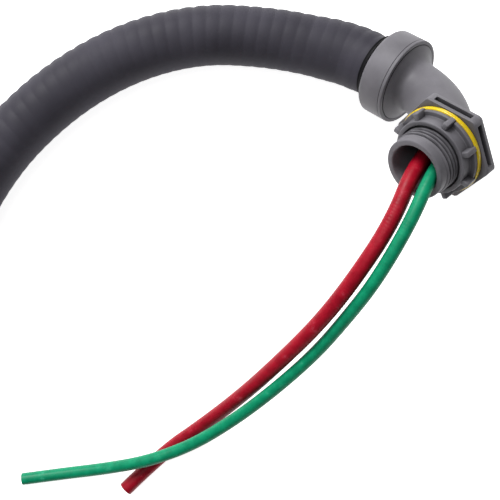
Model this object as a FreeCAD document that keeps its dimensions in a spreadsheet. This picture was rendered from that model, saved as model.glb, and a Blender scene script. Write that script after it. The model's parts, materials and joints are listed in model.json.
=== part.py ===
import FreeCAD, Part
import math
import os
import re
import Sketcher

Vector = FreeCAD.Vector
Rotation = FreeCAD.Rotation

doc = FreeCAD.newDocument("conduit_whip")

# ---------------------------------------------------------------------------
# Driving dimensions, millimetres and degrees, kept as plain numbers in a sheet
# ---------------------------------------------------------------------------
DIMENSIONS = {
    # flexible conduit, 3/4 trade size
    "conduit_radius": 13.35,
    "jacket_bore_radius": 11.3,
    "liner_outer_radius": 11.25,
    "liner_bore_radius": 10.6,
    # threaded hub, 3/4 pipe thread with 14 threads to the inch
    "hub_radius": 13.33,
    "hub_length": 18.0,
    "hub_tip_radius": 12.8,
    "hub_tip_length": 3.2,
    "hub_groove_place": 8.2,
    "hub_groove_width": 0.9,
    "hub_groove_depth": 0.6,
    "hub_bore_radius": 10.3,
    # hexagonal flange, cored by a slot in each flat
    "flange_corner_radius": 21.9,
    "flange_flat_radius": 18.97,
    "flange_thickness": 5.5,
    "flange_front_plate": 1.5,
    "slot_height": 2.1,
    "slot_length": 17.0,
    "slot_depth": 5.0,
    # 90 degree body: the nut's front plane and the flange's face, from the point where the axes cross
    "elbow_reach": 36.3,
    "elbow_rise_to_flange": 26.3,
    "elbow_bend_radius": 35.0,
    "elbow_pipe_radius": 11.15,
    "elbow_bore_radius": 9.3,
    "elbow_flare_length": 8.0,
    # end of a connector that takes the conduit
    "socket_radius": 16.0,
    "socket_length": 8.7,
    "socket_bore_radius": 13.65,
    "socket_floor": 1.8,
    # compression nut
    "nut_radius": 18.85,
    "nut_length": 12.8,
    "nut_cavity_radius": 16.08,
    "nut_cavity_length": 9.8,
    "nut_mouth_radius": 14.58,
    "nut_front_chamfer": 0.5,
    "nut_back_chamfer": 1.6,
    "nut_groove_place": 1.5,
    "nut_groove_width": 0.3,
    "nut_groove_depth": 0.3,
    # seal ring in the nut's mouth
    "seal_outer_radius": 14.5,
    "seal_inner_radius": 13.42,
    "seal_start": 9.5,
    "seal_length": 7.0,
    # ferrule in the conduit's end
    "ferrule_flange_radius": 13.3,
    "ferrule_flange_thickness": 1.2,
    "ferrule_outer_radius": 10.44,
    "ferrule_bore_radius": 9.6,
    "ferrule_length": 14.0,
    "conduit_end_setback": 3.05,
    # sealing ring on the hub
    "gasket_radius": 18.5,
    "gasket_bore_radius": 13.38,
    "gasket_thickness": 1.9,
    "gasket_gap": 0.02,
    # locknut
    "locknut_rim_radius": 18.0,
    "locknut_rim_thickness": 1.6,
    "locknut_collar_radius": 15.9,
    "locknut_thickness": 6.2,
    "locknut_bore_radius": 13.40,
    "lug_count": 8,
    "lug_reach": 18.7,
    "lug_width": 2.4,
    "lug_setback": 0.5,
    "lug_turn": -11.0,
    # straight body at the far end: nut's front plane to the flange's face
    "straight_reach": 9.0,
    "straight_neck_radius": 14.0,
    "straight_flare_length": 6.0,
    # wires
    "red_radius": 3.3,
    "red_copper_radius": 2.33,
    "green_radius": 2.75,
    "green_copper_radius": 1.85,
    "insulation_gap": 0.02,
    # how the 90 degree connector is turned
    "elbow_yaw": -35.7,
    "elbow_rise": 28.1,
    "elbow_roll": 55.5,
}

sheet = doc.addObject("Spreadsheet::Sheet", "dims")
for row, (alias, value) in enumerate(DIMENSIONS.items(), start=1):
    sheet.set(f"A{row}", alias)
    sheet.set(f"B{row}", str(value))
    sheet.setAlias(f"B{row}", alias)
doc.recompute()


def size(alias):
    """A driving dimension's value, read from the sheet."""
    return float(sheet.get(alias))


def bound(text):
    """An expression on the sheet's cells, from plain text such as 'nut_length - 2'."""
    return re.sub(r"[a-z_]+", lambda word: "dims." + word.group(), text)


# ---------------------------------------------------------------------------
# Places of the two connectors
# ---------------------------------------------------------------------------
# Front centre of the 90 degree connector's compression nut, and that connector's attitude.
# Its own X runs from the conduit into the elbow, its own Z out of the hub.
ELBOW_NUT_FRONT = Vector(98.2, 128.9, 30.4)
elbow_turn = (
    Rotation(Vector(0, 0, 1), size("elbow_yaw"))
    * Rotation(Vector(0, 1, 0), -size("elbow_rise"))
    * Rotation(Vector(1, 0, 0), size("elbow_roll"))
)
conduit_way = elbow_turn.multVec(Vector(1, 0, 0))
hub_way = elbow_turn.multVec(Vector(0, 0, 1))
side_way = elbow_turn.multVec(Vector(0, 1, 0))
elbow_corner = ELBOW_NUT_FRONT + conduit_way * size("elbow_reach")
# A turned piece has its axis along its own Z: this turn lays that axis along the connector's X.
z_to_x = Rotation(Vector(0, 1, 0), 90)

elbow_frame = FreeCAD.Placement(elbow_corner, elbow_turn)
elbow_nut_frame = FreeCAD.Placement(ELBOW_NUT_FRONT, elbow_turn * z_to_x)
elbow_hub_frame = FreeCAD.Placement(elbow_corner + hub_way * size("elbow_rise_to_flange"), elbow_turn)

# The conduit's route, from the 90 degree connector to the straight one: corners of its centreline.
# It comes down out of the nut, lies on the ground in a wide hook, and rises to the straight connector.
flat = size("conduit_radius")
axis_height = size("flange_flat_radius")
conduit_start = ELBOW_NUT_FRONT - conduit_way * size("conduit_end_setback")
CONDUIT_ROUTE = [
    conduit_start,
    conduit_start - conduit_way * 22.0,
    Vector(64.5, 147.1, 15.6),
    Vector(38.0, 152.8, flat),
    Vector(6.0, 154.3, flat),
    Vector(-28.0, 145.0, flat),
    Vector(-60.0, 125.5, flat),
    Vector(-89.0, 95.5, flat),
    Vector(-111.0, 51.5, flat),
    Vector(-118.0, 8.0, flat),
    Vector(-112.5, -37.0, flat),
    Vector(-92.0, -76.5, flat),
    Vector(-58.0, -104.5, axis_height),
    Vector(-39.5, -116.5, axis_height),
]

# The straight connector goes on in line with the conduit's last run, a flat of its flange downwards.
far_way = (CONDUIT_ROUTE[-1] - CONDUIT_ROUTE[-2]).normalize()
far_left = Vector(-far_way.y, far_way.x, 0)
far_turn = Rotation(far_left, Vector(0, 0, 1), far_way, "ZXY")
far_nut_front = CONDUIT_ROUTE[-1] + far_way * size("conduit_end_setback")
far_nut_frame = FreeCAD.Placement(far_nut_front, far_turn)
far_hub_frame = FreeCAD.Placement(far_nut_front + far_way * size("straight_reach"), far_turn)
far_mouth = far_hub_frame.Base + far_way * size("hub_length")


# ---------------------------------------------------------------------------
# Ways of making a piece
# ---------------------------------------------------------------------------
def new_sketch(body, name, role):
    """A sketch on one of the body's own origin planes."""
    sketch = body.newObject("Sketcher::SketchObject", name)
    plane = next(plane for plane in body.Origin.OriginFeatures if plane.Role == role)
    sketch.AttachmentSupport = [(plane, "")]
    sketch.MapMode = "FlatFace"
    return sketch


def outline(sketch, corners):
    """A closed outline of straight lines, each corner an (across, up) pair bound to the sheet."""
    count = len(corners)
    turns = [2 * math.pi * i / count for i in range(count)]
    spots = [Vector(40 + 10 * math.cos(turn), 10 * math.sin(turn), 0) for turn in turns]
    for i in range(count):
        sketch.addGeometry(Part.LineSegment(spots[i], spots[(i + 1) % count]), False)
    for i in range(count):
        sketch.addConstraint(Sketcher.Constraint("Coincident", i, 2, (i + 1) % count, 1))
    for i, (across, up) in enumerate(corners):
        for kind, text, now in (("DistanceX", across, spots[i].x), ("DistanceY", up, spots[i].y)):
            index = sketch.addConstraint(Sketcher.Constraint(kind, -1, 1, i, 1, now))
            sketch.setExpression(f"Constraints[{index}]", bound(text))


def turned(label, corners, frame):
    """A piece turned about its own Z: each corner of its section is a (radius, height) pair."""
    body = doc.addObject("PartDesign::Body", label)
    sketch = new_sketch(body, label + "_section", "XZ_Plane")
    outline(sketch, corners)
    turn = body.newObject("PartDesign::Revolution", label + "_turn")
    turn.Profile = sketch
    turn.ReferenceAxis = (sketch, ["V_Axis"])
    turn.Angle = 360
    body.Placement = frame
    doc.recompute()
    return body


def primitive(kind, name, place, turn=Rotation(), **sizes):
    """A Part primitive whose sizes are bound to the sheet, at a place in its connector's own frame."""
    thing = doc.addObject(kind, name)
    thing.Placement = FreeCAD.Placement(place, turn)
    for prop, text in sizes.items():
        thing.setExpression(prop, bound(text))
    return thing


def fused(name, pieces):
    thing = doc.addObject("Part::MultiFuse", name)
    thing.Shapes = pieces
    return thing


def cut(name, base, tool):
    thing = doc.addObject("Part::Cut", name)
    thing.Base = base
    thing.Tool = tool
    return thing


# ---------------------------------------------------------------------------
# Connector pieces, the same at both ends
# ---------------------------------------------------------------------------
def compression_nut(label, frame):
    """Round nut over the conduit's end: front plane at height 0, mouth for the conduit at the back."""
    corners = [
        ("nut_cavity_radius", "0"),
        ("nut_radius - nut_front_chamfer", "0"),
        ("nut_radius", "0 - nut_front_chamfer"),
        ("nut_radius", "0 - nut_groove_place"),
        ("nut_radius - nut_groove_depth", "0 - nut_groove_place - nut_groove_width / 2"),
        ("nut_radius", "0 - nut_groove_place - nut_groove_width"),
        ("nut_radius", "nut_back_chamfer - nut_length"),
        ("nut_radius - nut_back_chamfer", "0 - nut_length"),
        ("nut_mouth_radius", "0 - nut_length"),
        ("nut_mouth_radius", "0 - nut_cavity_length"),
        ("nut_cavity_radius", "0 - nut_cavity_length"),
    ]
    return turned(label, corners, frame)


def seal_ring(label, frame):
    """Ring between the nut's mouth and the conduit, standing a little out of the mouth."""
    corners = [
        ("seal_inner_radius", "0 - seal_start"),
        ("seal_outer_radius", "0 - seal_start"),
        ("seal_outer_radius", "0 - seal_start - seal_length"),
        ("seal_inner_radius", "0 - seal_start - seal_length"),
    ]
    return turned(label, corners, frame)


def ferrule(label, frame):
    """Sleeve inside the conduit's end, with a flange that the end stops on."""
    corners = [
        ("ferrule_bore_radius", "ferrule_flange_thickness - conduit_end_setback"),
        ("ferrule_flange_radius", "ferrule_flange_thickness - conduit_end_setback"),
        ("ferrule_flange_radius", "0 - conduit_end_setback"),
        ("ferrule_outer_radius", "0 - conduit_end_setback"),
        ("ferrule_outer_radius", "0 - conduit_end_setback - ferrule_length"),
        ("ferrule_bore_radius", "0 - conduit_end_setback - ferrule_length"),
    ]
    return turned(label, corners, frame)


def gasket(label, frame):
    """Flat sealing ring on the hub, a hair in front of the flange's face, which is height 0."""
    corners = [
        ("gasket_bore_radius", "gasket_gap"),
        ("gasket_radius", "gasket_gap"),
        ("gasket_radius", "gasket_gap + gasket_thickness"),
        ("gasket_bore_radius", "gasket_gap + gasket_thickness"),
    ]
    return turned(label, corners, frame)


def locknut(label, frame):
    """Ring nut on the hub: a thin rim at the back, a raised collar, and lugs to drive it round."""
    corners = [
        ("locknut_bore_radius", "0"),
        ("locknut_rim_radius", "0"),
        ("locknut_rim_radius", "locknut_rim_thickness"),
        ("locknut_collar_radius", "locknut_rim_thickness"),
        ("locknut_collar_radius", "locknut_thickness"),
        ("locknut_bore_radius", "locknut_thickness"),
    ]
    back = Vector(0, 0, size("gasket_thickness") + 2 * size("gasket_gap"))
    lifted = FreeCAD.Placement(frame.multVec(back), frame.Rotation * Rotation(Vector(0, 0, 1), size("lug_turn")))
    body = turned(label, corners, lifted)
    sketch = new_sketch(body, label + "_lug_outline", "XY_Plane")
    outline(sketch, [
        ("locknut_collar_radius - 1", "0 - lug_width / 2"),
        ("lug_reach", "0 - lug_width / 2"),
        ("lug_reach", "lug_width / 2"),
        ("locknut_collar_radius - 1", "lug_width / 2"),
    ])
    lug = body.newObject("PartDesign::Pad", label + "_lug")
    lug.Profile = sketch
    lug.setExpression("Length", bound("locknut_thickness - lug_setback"))
    doc.recompute()
    around = body.newObject("PartDesign::PolarPattern", label + "_lugs")
    around.Originals = [lug]
    around.Axis = (sketch, ["N_Axis"])
    around.Angle = 360
    around.setExpression("Occurrences", bound("lug_count"))
    body.Tip = around
    doc.recompute()
    return body


def flange_and_hub(name, face):
    """The hex flange with a cored slot in each flat, and the hub. face is the height of its front.

    A ring groove in the hub marks where the thread in front of the locknut starts.
    """
    bottom = face - size("flange_thickness")
    slot_floor = face - size("flange_front_plate") - size("slot_height")
    plate = primitive(
        "Part::Prism", name + "_flange_block", Vector(0, 0, bottom),
        Circumradius="flange_corner_radius", Height="flange_thickness",
    )
    plate.Polygon = 6
    slots = []
    for step in range(6):
        turn = Rotation(Vector(0, 0, 1), 30 + 60 * step)
        corner = Vector(size("flange_flat_radius") - size("slot_depth"), -size("slot_length") / 2, slot_floor)
        slots.append(primitive(
            "Part::Box", f"{name}_slot_{step}", turn.multVec(corner), turn,
            Length="slot_depth + 1", Width="slot_length", Height="slot_height",
        ))
    barrel = primitive(
        "Part::Cylinder", name + "_barrel", Vector(0, 0, bottom),
        Radius="hub_radius", Height="flange_thickness + hub_length - hub_tip_length",
    )
    tip = primitive(
        "Part::Cylinder", name + "_hub_tip", Vector(0, 0, face + size("hub_length") - size("hub_tip_length")),
        Radius="hub_tip_radius", Height="hub_tip_length",
    )
    groove_at = Vector(0, 0, face + size("hub_groove_place"))
    around = primitive(
        "Part::Cylinder", name + "_groove_outside", groove_at,
        Radius="hub_radius + 1", Height="hub_groove_width",
    )
    within = primitive(
        "Part::Cylinder", name + "_groove_inside", groove_at,
        Radius="hub_radius - hub_groove_depth", Height="hub_groove_width",
    )
    hub = cut(name + "_hub", barrel, cut(name + "_groove", around, within))
    return [cut(name + "_flange", plate, fused(name + "_slots", slots)), hub, tip]


def socket_and_flare(name, back, turn, way, neck, length):
    """The end that takes the conduit, the nut's front plane at back along way, and the flare in front of it."""
    start = way * (back - size("socket_length"))
    socket = primitive(
        "Part::Cylinder", name + "_socket", start, turn, Radius="socket_radius", Height="socket_length"
    )
    flare = primitive(
        "Part::Cone", name + "_flare", way * back, turn, Radius1="socket_radius", Radius2=neck, Height=length,
    )
    return [socket, flare]


def socket_bore(name, back, turn, way):
    """The bore that the conduit's end sits in."""
    return primitive(
        "Part::Cylinder", name + "_socket_bore", way * (back - size("socket_length") - 1), turn,
        Radius="socket_bore_radius", Height="socket_length + 1 - socket_floor",
    )


def quarter_bend(name, radius):
    """A quarter ring that leaves along +X at height 0 and ends along +Z on the hub's axis."""
    bend_radius = size("elbow_bend_radius")
    turn = Rotation(Vector(0, 0, -1), Vector(1, 0, 0), Vector(0, -1, 0), "ZXY")
    bend = primitive(
        "Part::Torus", name, Vector(-bend_radius, 0, bend_radius), turn,
        Radius1="elbow_bend_radius", Radius2=radius,
    )
    bend.Angle3 = 90
    return bend


def elbow_body(label, frame):
    """90 degree body: socket for the conduit towards -X, a quarter bend, and flange and hub along +Z."""
    along = Vector(1, 0, 0)
    face = size("elbow_rise_to_flange")
    nut_plane = -size("elbow_reach")
    outer = socket_and_flare(label, nut_plane, z_to_x, along, "elbow_pipe_radius", "elbow_flare_length")
    outer += flange_and_hub(label, face)
    outer += [
        primitive(
            "Part::Cylinder", label + "_inlet", along * nut_plane, z_to_x,
            Radius="elbow_pipe_radius", Height="elbow_reach - elbow_bend_radius",
        ),
        quarter_bend(label + "_bend", "elbow_pipe_radius"),
    ]
    bores = [
        socket_bore(label, nut_plane, z_to_x, along),
        primitive(
            "Part::Cylinder", label + "_inlet_bore", along * (nut_plane - size("socket_length")), z_to_x,
            Radius="elbow_bore_radius", Height="socket_length + elbow_reach - elbow_bend_radius",
        ),
        quarter_bend(label + "_bend_bore", "elbow_bore_radius"),
        primitive(
            "Part::Cylinder", label + "_hub_bore", Vector(0, 0, face - size("flange_thickness") + 1.5),
            Radius="hub_bore_radius", Height="flange_thickness + hub_length",
        ),
    ]
    body = cut(label, fused(label + "_solid", outer), fused(label + "_bores", bores))
    body.Placement = frame
    return body


def straight_body(label, frame):
    """Straight body: socket at the back of its flange, and the hub in front."""
    up = Vector(0, 0, 1)
    nut_plane = -size("straight_reach")
    outer = socket_and_flare(
        label, nut_plane, Rotation(), up, "straight_neck_radius", "straight_flare_length"
    )
    outer += flange_and_hub(label, 0)
    bores = [
        socket_bore(label, nut_plane, Rotation(), up),
        primitive(
            "Part::Cylinder", label + "_bore", up * (nut_plane - size("socket_length")),
            Radius="hub_bore_radius", Height="straight_reach + socket_length + hub_length + 1",
        ),
    ]
    body = cut(label, fused(label + "_solid", outer), fused(label + "_bores", bores))
    body.Placement = frame
    return body


# ---------------------------------------------------------------------------
# Conduit and wires: straight runs joined by tangent arcs
# ---------------------------------------------------------------------------
ARC_SHARE = 0.45


def bent_path(name, points, chosen=None):
    """Straight runs and tangent arcs along a route; prints the length and radii. chosen: radius at a corner."""
    radii = []
    edges = []
    here = points[0]
    for i in range(1, len(points) - 1):
        before = points[i] - points[i - 1]
        after = points[i + 1] - points[i]
        half_turn = before.getAngle(after) / 2
        if chosen and i in chosen:
            radius = chosen[i]
            reach = radius * math.tan(half_turn)
        else:
            reach = ARC_SHARE * min(before.Length, after.Length)
            radius = reach / math.tan(half_turn)
        before.normalize()
        after.normalize()
        start = points[i] - before * reach
        end = points[i] + after * reach
        middle = points[i] + (after - before).normalize() * (radius / math.cos(half_turn) - radius)
        edges.append(Part.LineSegment(here, start).toShape())
        edges.append(Part.Arc(start, middle, end).toShape())
        radii.append(round(radius, 1))
        here = end
    edges.append(Part.LineSegment(here, points[-1]).toShape())
    path = doc.addObject("Part::Feature", name)
    path.Shape = Part.Wire(edges)
    print(name, "length", round(path.Shape.Length, 1), "radii", radii)
    return path


def rod(name, path, radius):
    """A round bar of a bound radius along a path."""
    start = path.Shape.Edges[0]
    way = start.tangentAt(start.FirstParameter)
    ring = doc.addObject("Part::Circle", name + "_ring")
    ring.Placement = FreeCAD.Placement(start.valueAt(start.FirstParameter), Rotation(Vector(0, 0, 1), way))
    ring.setExpression("Radius", bound(radius))
    bar = doc.addObject("Part::Sweep", name)
    bar.Sections = [ring]
    bar.Spine = (path, [f"Edge{i + 1}" for i in range(len(path.Shape.Edges))])
    bar.Solid = True
    return bar


def tube(label, path, outer, inner):
    """A tube along a path."""
    return cut(label, rod(label + "_outside", path, outer), rod(label + "_inside", path, inner))


def beside(points, offset):
    """A route beside another one, seen from above: positive offsets lie to its right."""
    moved = []
    for i, point in enumerate(points):
        before = points[max(i, 1)] - points[max(i, 1) - 1]
        after = points[min(i, len(points) - 2) + 1] - points[min(i, len(points) - 2)]
        right = Vector(before.y, -before.x, 0).normalize() + Vector(after.y, -after.x, 0).normalize()
        moved.append(point + right * (2 * offset / right.Length ** 2))
    return moved


# Each wire is one length in three stretches: a tail in front of each hub, and the run between them.
# In the 90 degree hub a wire leans back towards the conduit: its place across the hub's own X and Y at the
# depth where the tail's first bend is, and how far it moves for each millimetre further in.
TAIL_DEPTH = 22.0
TAIL_BEND_DEPTH = 1.8
HUB_SPOT = {"red": (-0.8, 1.5), "green": (6.8, 1.8)}
HUB_LEAN = {"red": (0.196, 0.09), "green": (0.2255, 0.0)}
# Where a wire turns in the elbow, along the hub's axis from the crossing of the axes, and how tightly.
TURN_HEIGHT = {"red": 3.0, "green": -3.0}
TURN_RADIUS = {"red": 22.0, "green": 31.0}
# The wires lie side by side in the conduit, green on the outside of the hook.
LANE = {"red": -3.6, "green": 3.6}
mouth = elbow_hub_frame.multVec(Vector(0, 0, size("hub_length")))


def in_hub(colour, depth):
    """A point on a wire inside the 90 degree connector, this far in from the hub's mouth."""
    spot = HUB_SPOT[colour]
    lean = HUB_LEAN[colour]
    across = spot[0] - lean[0] * (depth - TAIL_BEND_DEPTH)
    side = spot[1] - lean[1] * (depth - TAIL_BEND_DEPTH)
    return mouth + conduit_way * across + side_way * side - hub_way * depth


# The near tails leave the hub, sink to the ground and lie on it; the green one crosses over the red one.
NEAR_TAIL = {
    "red": [
        in_hub("red", TAIL_DEPTH),
        in_hub("red", TAIL_BEND_DEPTH),
        Vector(84.8, 67.3, 71.5),
        Vector(70.3, 44.3, 65.5),
        Vector(57.8, 26.8, 55.0),
        Vector(42.8, 9.8, 41.0),
        Vector(27.3, -6.7, 25.0),
        Vector(8.8, -23.2, 10.5),
        Vector(-10.7, -37.7, 3.3),
        Vector(-27.6, -54.3, 3.3),
    ],
    "green": [
        in_hub("green", TAIL_DEPTH),
        in_hub("green", TAIL_BEND_DEPTH),
        Vector(91.4, 67.6, 75.0),
        Vector(78.9, 44.6, 69.0),
        Vector(68.4, 29.1, 58.5),
        Vector(56.9, 13.6, 47.0),
        Vector(39.9, -3.4, 36.0),
        Vector(22.4, -18.4, 25.5),
        Vector(3.4, -31.4, 16.5),
        Vector(-17.1, -39.4, 12.5),
        Vector(-37.1, -44.4, 5.5),
        Vector(-57.1, -47.4, 2.75),
        Vector(-75.6, -49.9, 2.75),
    ],
}
# The far tails sink from the straight hub and lie on the ground.
FAR_TAIL = {
    "red": [
        Vector(18.0, -145.5, 12.0),
        Vector(44.0, -152.0, 4.6),
        Vector(72.0, -153.5, 3.3),
        Vector(98.0, -150.5, 3.3),
        Vector(120.0, -142.5, 3.3),
    ],
    "green": [
        Vector(14.0, -152.5, 12.0),
        Vector(42.0, -160.5, 4.2),
        Vector(72.0, -164.5, 2.75),
        Vector(102.0, -164.5, 2.75),
        Vector(129.4, -159.4, 2.75),
    ],
}


def far_exit(colour, depth):
    """A point on a wire in line with the straight hub, this far inside its mouth."""
    return far_mouth - far_left * LANE[colour] - far_way * depth


def wire_stretches(colour):
    """Insulation and copper of one wire's three stretches."""
    inside = beside(CONDUIT_ROUTE, LANE[colour])
    turn = in_hub(colour, size("elbow_rise_to_flange") + size("hub_length") - TURN_HEIGHT[colour])
    run = [in_hub(colour, TAIL_DEPTH), turn] + inside[1:-1] + [far_exit(colour, TAIL_DEPTH)]
    far_tail = [far_exit(colour, TAIL_DEPTH), far_exit(colour, -7)] + FAR_TAIL[colour]
    paths = {
        "tail": bent_path(colour + "_tail_path", NEAR_TAIL[colour]),
        "run": bent_path(colour + "_run_path", run, {1: TURN_RADIUS[colour]}),
        "far_tail": bent_path(colour + "_far_tail_path", far_tail),
    }
    pieces = []
    for stretch, path in paths.items():
        copper_radius = colour + "_copper_radius"
        pieces.append(tube(
            f"{colour}_insulation_{stretch}", path, colour + "_radius", copper_radius + " + insulation_gap"
        ))
        pieces.append(rod(f"{colour}_copper_{stretch}", path, copper_radius))
    return pieces


# ---------------------------------------------------------------------------
# The pieces
# ---------------------------------------------------------------------------
conduit_path = bent_path("conduit_path", CONDUIT_ROUTE)
parts = [
    tube("conduit_jacket", conduit_path, "conduit_radius", "jacket_bore_radius"),
    tube("conduit_liner", conduit_path, "liner_outer_radius", "liner_bore_radius"),
    elbow_body("elbow_body", elbow_frame),
    straight_body("straight_body", far_hub_frame),
]
for end, nut_frame, hub_frame in (
    ("elbow", elbow_nut_frame, elbow_hub_frame),
    ("straight", far_nut_frame, far_hub_frame),
):
    parts += [
        compression_nut(end + "_nut", nut_frame),
        seal_ring(end + "_seal_ring", nut_frame),
        ferrule(end + "_ferrule", nut_frame),
        gasket(end + "_gasket", hub_frame),
        locknut(end + "_locknut", hub_frame),
    ]
for colour in ("red", "green"):
    parts += wire_stretches(colour)

doc.recompute()

for thing in doc.Objects:
    if "Invalid" in thing.State or "Error" in thing.State:
        raise RuntimeError(f"{thing.Name} failed: {thing.State}")
os.makedirs("parts", exist_ok=True)
low = [1e9] * 3
high = [-1e9] * 3
for part in parts:
    shape = part.Shape
    if shape.isNull() or not shape.isValid():
        raise RuntimeError(f"{part.Label} has no valid shape")
    box = shape.BoundBox
    low = [min(low[0], box.XMin), min(low[1], box.YMin), min(low[2], box.ZMin)]
    high = [max(high[0], box.XMax), max(high[1], box.YMax), max(high[2], box.ZMax)]
    print(part.Label, "solids", len(shape.Solids), "volume", round(shape.Volume, 1))
    shape.exportStep(f"parts/{part.Label}.step")
print("low", [round(value, 2) for value in low], "high", [round(value, 2) for value in high])
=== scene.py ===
import json
import math

import bmesh
import bpy
import numpy as np
from mathutils import Matrix, Vector, noise


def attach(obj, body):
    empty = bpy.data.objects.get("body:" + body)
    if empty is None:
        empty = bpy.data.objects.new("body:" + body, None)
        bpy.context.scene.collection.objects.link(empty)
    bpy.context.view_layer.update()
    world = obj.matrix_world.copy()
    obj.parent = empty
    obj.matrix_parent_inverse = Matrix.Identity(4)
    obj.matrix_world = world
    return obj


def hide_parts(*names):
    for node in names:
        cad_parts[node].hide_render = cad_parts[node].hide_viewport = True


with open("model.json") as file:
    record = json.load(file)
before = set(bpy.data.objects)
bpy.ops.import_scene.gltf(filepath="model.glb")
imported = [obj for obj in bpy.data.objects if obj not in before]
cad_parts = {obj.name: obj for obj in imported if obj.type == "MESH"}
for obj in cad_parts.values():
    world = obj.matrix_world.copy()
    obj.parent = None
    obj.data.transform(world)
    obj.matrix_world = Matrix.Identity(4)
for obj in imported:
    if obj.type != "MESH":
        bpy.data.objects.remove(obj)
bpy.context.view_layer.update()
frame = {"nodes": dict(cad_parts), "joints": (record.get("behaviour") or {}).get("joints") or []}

# ---------------------------------------------------------------------------
# Liquid-tight conduit: a hose of soft, dark grey PVC, 3/4 trade size, extruded round a hard PVC
# spiral, so that its outside stands in shallow ridges where the hose is bent open. It is cut to
# length, and a compression nut at each end holds it.
# ---------------------------------------------------------------------------
scene = bpy.context.scene
MM = 0.001
CONDUIT_RADIUS = 13.35 * MM
CONDUIT_BORE = 11.3 * MM
CONDUIT_STEP = 0.55 * MM
CONDUIT_SIDES = 72
RIDGE_PITCH = 5.8 * MM
RIDGE_HEIGHT = 0.50 * MM
RIDGE_ROUNDNESS = 0.8
RIDGE_LEAST = 0.12
RIDGE_OPENING = 3.2
UNEVEN_SHARE = 0.35
UNEVEN_SIZE = 11 * MM
BEND_WINDOW = 61
SWELL_HEIGHT = 0.4 * MM
SWELL_PLACE = (14 * MM, 20 * MM, 36 * MM, 46 * MM)
WALL_INSIDE_STEP = 4
CONDUIT_ROUTE = [
    (0.096015, 0.130470, 0.028963),
    (0.080255, 0.141795, 0.018601),
    (0.0645, 0.1471, 0.0156),
    (0.0380, 0.1528, 0.01335),
    (0.0060, 0.1543, 0.01335),
    (-0.0280, 0.1450, 0.01335),
    (-0.0600, 0.1255, 0.01335),
    (-0.0890, 0.0955, 0.01335),
    (-0.1110, 0.0515, 0.01335),
    (-0.1180, 0.0080, 0.01335),
    (-0.1125, -0.0370, 0.01335),
    (-0.0920, -0.0765, 0.01335),
    (-0.0580, -0.1045, 0.01897),
    (-0.0395, -0.1165, 0.01897),
]


def lay_line(points, step):
    """The smooth line that a route's points shape, read off its spline and spaced evenly."""
    curve = bpy.data.curves.new("lay", "CURVE")
    curve.dimensions = "3D"
    curve.resolution_u = 48
    spline = curve.splines.new("NURBS")
    spline.points.add(len(points) - 1)
    for control, point in zip(spline.points, points):
        control.co = (*point, 1.0)
    spline.order_u = 3
    spline.use_endpoint_u = True
    lay = bpy.data.objects.new("lay", curve)
    mesh = bpy.data.meshes.new_from_object(lay)
    fine = np.array([vertex.co for vertex in mesh.vertices])
    bpy.data.meshes.remove(mesh)
    bpy.data.objects.remove(lay)
    bpy.data.curves.remove(curve)
    run = np.concatenate([[0], np.cumsum(np.linalg.norm(np.diff(fine, axis=0), axis=1))])
    count = int(run[-1] / step) + 1
    at = np.linspace(0, run[-1], count)
    return at, np.stack([np.interp(at, run, fine[:, axis]) for axis in range(3)], axis=1)


def directions(line):
    """Along, and two directions across, for each point of a line, carried along it without twist."""
    along = np.gradient(line, axis=0)
    along /= np.linalg.norm(along, axis=1)[:, None]
    up = np.array([0.0, 0.0, 1.0])
    first = up - along[0] * (up @ along[0])
    across = [first / np.linalg.norm(first)]
    for way in along[1:]:
        carried = across[-1] - way * (way @ across[-1])
        across.append(carried / np.linalg.norm(carried))
    across = np.array(across)
    return along, across, np.cross(along, across)


def outwards(across, side, angles):
    """The outward direction at each ring and angle."""
    return across[:, None] * np.cos(angles)[None, :, None] + side[:, None] * np.sin(angles)[None, :, None]


def rings_along(line, radius, angles):
    """Rings of points round a line. radius is one number, or one for each ring and angle."""
    _, across, side = directions(line)
    out = outwards(across, side, angles)
    radius = np.broadcast_to(radius, (len(line), len(angles)))
    return line[:, None] + out * radius[:, :, None]


def skin(name, grid, loop=True, sharp=40):
    """A closed mesh over a grid of rings: a loop joins last ring to first, else both ends get caps."""
    rings, sides = grid.shape[:2]
    index = np.arange(rings * sides).reshape(rings, sides)
    below = index if loop else index[:-1]
    above = np.roll(index, -1, axis=0) if loop else index[1:]
    quads = np.stack([below, np.roll(below, -1, axis=1), np.roll(above, -1, axis=1), above], axis=-1)
    faces = quads.reshape(-1, 4).tolist()
    if not loop:
        faces += [index[0][::-1].tolist(), index[-1].tolist()]
    mesh = bpy.data.meshes.new(name)
    mesh.from_pydata(grid.reshape(-1, 3).tolist(), [], faces)
    return finished(name, mesh, sharp)


def finished(name, mesh, sharp=40):
    """A piece from a mesh, its faces turned outwards, smooth but for edges sharper than an angle."""
    work = bmesh.new()
    work.from_mesh(mesh)
    bmesh.ops.recalc_face_normals(work, faces=work.faces)
    work.to_mesh(mesh)
    work.free()
    mesh.shade_smooth()
    mesh.set_sharp_from_angle(angle=math.radians(sharp))
    piece = bpy.data.objects.new(name, mesh)
    scene.collection.objects.link(piece)
    return piece


def turns(sides):
    """Evenly spaced angles, once round."""
    return np.arange(sides) * 2 * math.pi / sides


def waves(points, scale, seed=0.0):
    """Smooth, fixed unevenness, one number about 0 for each point."""
    shift = Vector((seed, seed * 1.7, seed * 0.3))
    return np.array([noise.noise(Vector(point) / scale + shift) for point in points])


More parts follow.
